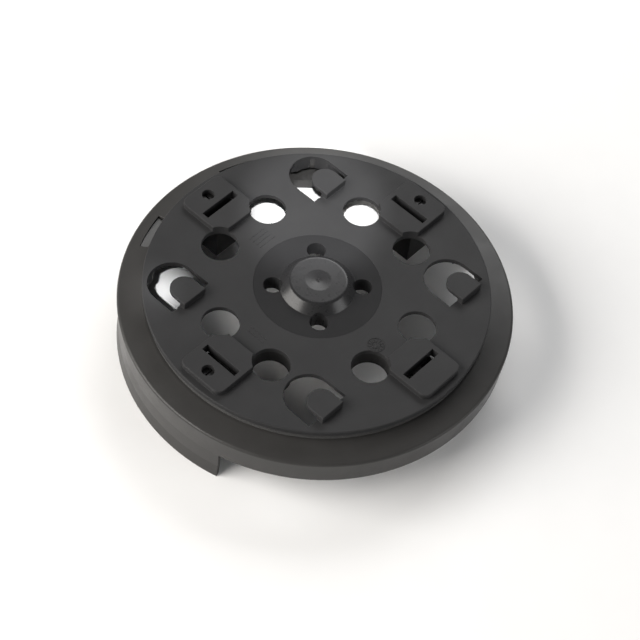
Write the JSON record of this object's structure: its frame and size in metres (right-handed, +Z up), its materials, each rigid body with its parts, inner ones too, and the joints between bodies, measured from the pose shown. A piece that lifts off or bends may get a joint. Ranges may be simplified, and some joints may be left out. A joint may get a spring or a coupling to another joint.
{
  "type": "sanding head hood",
  "caption": "Round black plastic sanding-head hood: a carrier plate with hook openings, raised pads and air holes inside a turning shroud ring with a cut-down front skirt.",
  "frame": {"origin": "centre of the circle on which the tall skirt stands, at floor level", "axes": "+Z up through the hub's centre, +Y towards the middle of the tall skirt, +X to its right"},
  "size_m": [0.2288, 0.2287, 0.0521],
  "materials": {
    "plate_plastic": "satin spark-eroded black nylon",
    "hub_plastic": "satin black, polished dome",
    "ring_plastic": "semi-gloss black",
    "tab_plastic": "satin black",
    "inner_plastic": "matte black",
    "catch_plastic": "smooth black acetal",
    "screw_steel": "blackened steel",
    "felt": "black felt"
  },
  "bodies": {
    "carrier": {"carrier_plate": "plate_plastic", "hub_flange": "hub_plastic", "hub_screws": "screw_steel", "housing_screws": "screw_steel", "sleeve_left": "inner_plastic", "sleeve_front": "inner_plastic", "dust_seal": "felt", "keeper_screws": "screw_steel", "catch_housing_right": "inner_plastic", "catch_housing_rear": "inner_plastic", "catch_housing_left": "inner_plastic", "catch_housing_front": "inner_plastic", "ring_keeper_1": "inner_plastic", "ring_keeper_2": "inner_plastic", "ring_keeper_3": "inner_plastic", "ring_keeper_4": "inner_plastic", "ring_keeper_5": "inner_plastic", "ring_keeper_6": "inner_plastic", "ring_keeper_7": "inner_plastic", "ring_keeper_8": "inner_plastic"},
    "shroud": {"shroud_ring": "ring_plastic"},
    "latch_left": {"latch_tab_left": "tab_plastic"},
    "latch_right": {"latch_tab_right": "tab_plastic"},
    "catch_right_body": {"catch_right": "catch_plastic"},
    "catch_rear_body": {"catch_rear": "catch_plastic"},
    "catch_left_body": {"catch_left": "catch_plastic"},
    "catch_front_body": {"catch_front": "catch_plastic"}
  },
  "joints": [
    {"name": "shroud_turn", "type": "hinge", "parent": "carrier", "child": "shroud", "pos_m": [0, 0, 0.0376], "axis": [0, 0, 1], "range_deg": [-90, 90]},
    {"name": "latch_left_press", "type": "hinge", "parent": "shroud", "child": "latch_left", "pos_m": [-0.04712, 0.09327, 0.0363], "axis": [-0.4509, 0.8926, 0], "range_deg": [0, 6], "stiffness_Nm_per_rad": 0.5},
    {"name": "latch_right_press", "type": "hinge", "parent": "shroud", "child": "latch_right", "pos_m": [0.04712, 0.09327, 0.0363], "axis": [-0.4509, -0.8926, 0], "range_deg": [0, 6], "stiffness_Nm_per_rad": 0.5},
    {"name": "catch_right_slide", "type": "slide", "parent": "carrier", "child": "catch_right_body", "axis": [-1, 0, 0], "range_m": [0, 0.002], "stiffness_N_per_m": 1000},
    {"name": "catch_rear_slide", "type": "slide", "parent": "carrier", "child": "catch_rear_body", "axis": [0, -1, 0], "range_m": [0, 0.002], "stiffness_N_per_m": 1000},
    {"name": "catch_left_slide", "type": "slide", "parent": "carrier", "child": "catch_left_body", "axis": [1, 0, 0], "range_m": [0, 0.002], "stiffness_N_per_m": 1000},
    {"name": "catch_front_slide", "type": "slide", "parent": "carrier", "child": "catch_front_body", "axis": [0, 1, 0], "range_m": [0, 0.002], "stiffness_N_per_m": 1000}
  ]
}
